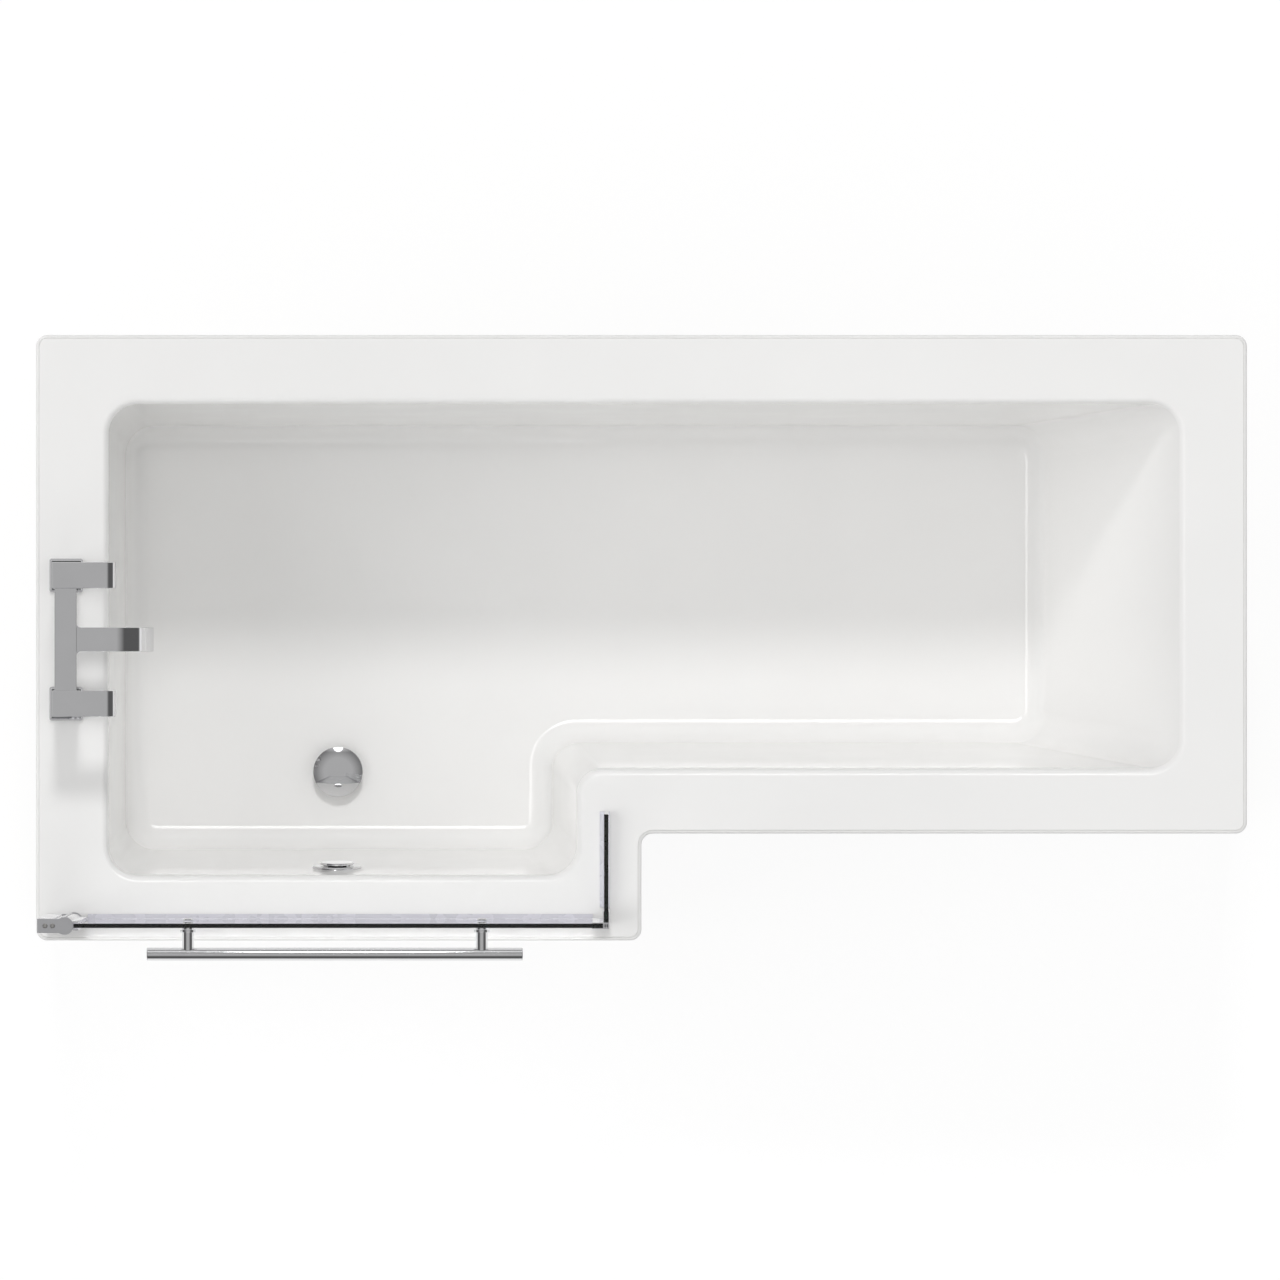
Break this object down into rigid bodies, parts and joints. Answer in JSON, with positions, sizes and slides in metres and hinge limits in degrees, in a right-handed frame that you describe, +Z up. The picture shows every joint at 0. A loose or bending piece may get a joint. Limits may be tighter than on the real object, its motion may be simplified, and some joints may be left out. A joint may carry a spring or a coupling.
{
  "type": "shower bath",
  "caption": "L-shaped acrylic shower bath with a hinged corner glass screen and towel rail, deck bath tap, push-plug waste, overflow, front panel and leg cradle.",
  "frame": {"origin": "on the floor, under the middle of the whole object's outline, with the towel rail counted", "axes": "+X from the tap end to the backrest end, +Y from the open side to the long wall, +Z up"},
  "size_m": [1.7, 0.8746, 1.9616],
  "materials": {
    "white_acrylic": "high gloss white acrylic, resin and glass fibre on the back",
    "chipboard": "raw chipboard sealed with resin",
    "softwood": "planed softwood",
    "galvanised_steel": "dull galvanised",
    "zinc_plate": "bright zinc plate",
    "black_plastic": "moulded, matt",
    "white_caps": "gloss screw caps",
    "bright_chrome": "mirror chrome plate",
    "tap_chrome": "mirror chrome plate",
    "rail_chrome": "mirror chrome plate",
    "black_rubber": "soft rubber",
    "white_pipework": "white polypropylene",
    "brass_parts": "machined brass",
    "polished_aluminium": "polished silver anodised",
    "stainless_screws": "stainless steel",
    "grey_cap": "silver grey moulded cap",
    "clear_seal": "clear flexible vinyl",
    "clear_glass": "clear toughened glass, polished edges"
  },
  "bodies": {
    "bath": {"bath_shell": "white_acrylic", "baseboard": "chipboard", "rim_battens": "softwood", "tap_batten": "softwood", "cradle_bar_left": "galvanised_steel", "cradle_bar_middle": "galvanised_steel", "cradle_bar_right": "galvanised_steel", "cradle_screws": "zinc_plate", "leg_studs": "zinc_plate", "leg_nuts": "zinc_plate", "leg_feet": "black_plastic", "wall_brackets": "galvanised_steel", "front_panel": "white_acrylic", "floor_battens": "softwood", "panel_screws": "white_caps", "waste_flange": "bright_chrome", "waste_seals": "black_rubber", "waste_body": "white_pipework", "plug_barrel": "brass_parts", "overflow_cover": "bright_chrome", "overflow_seal": "black_rubber", "overflow_elbow": "white_pipework", "overflow_pipe": "white_pipework", "tap_body": "tap_chrome", "tap_aerator": "black_plastic", "tap_plates": "tap_chrome", "tap_cartridges": "brass_parts", "tap_tails": "brass_parts", "tap_washers": "black_rubber", "tap_backnuts": "brass_parts", "wall_channel": "polished_aluminium", "pivot_profile": "polished_aluminium", "profile_screws": "stainless_screws", "hinge_cap_top": "grey_cap", "hinge_cap_bottom": "grey_cap", "hinge_cap_screws": "stainless_screws"},
    "screen": {"glazing_bar": "polished_aluminium", "glazing_gasket": "clear_seal", "front_glass": "clear_glass", "return_glass": "clear_glass", "corner_profile": "polished_aluminium", "front_seal": "clear_seal", "return_seal": "clear_seal", "rail_rod": "rail_chrome", "rail_posts": "rail_chrome", "rail_washers": "clear_seal", "rail_screws": "rail_chrome"},
    "back_lever": {"lever_back": "tap_chrome", "spindle_back": "brass_parts"},
    "front_lever": {"lever_front": "tap_chrome", "spindle_front": "brass_parts"},
    "plug": {"plug_cap": "bright_chrome", "plug_seal": "black_rubber"}
  },
  "joints": [
    {"name": "screen_swing", "type": "hinge", "parent": "bath", "child": "screen", "pos_m": [-0.7967, -0.3855, 1.26], "axis": [0, 0, 1], "range_deg": [-80, 60]},
    {"name": "back_lever_turn", "type": "hinge", "parent": "bath", "child": "back_lever", "pos_m": [-0.8075, 0.0998, 0.668], "axis": [0, 0, 1], "range_deg": [0, 90]},
    {"name": "front_lever_turn", "type": "hinge", "parent": "bath", "child": "front_lever", "pos_m": [-0.8075, -0.0802, 0.668], "axis": [0, 0, 1], "range_deg": [-90, 0]},
    {"name": "plug_push", "type": "slide", "parent": "bath", "child": "plug", "axis": [0, 0, 1], "range_m": [-0.007, 0], "stiffness_N_per_m": 1500, "springref_m": 0.003}
  ]
}
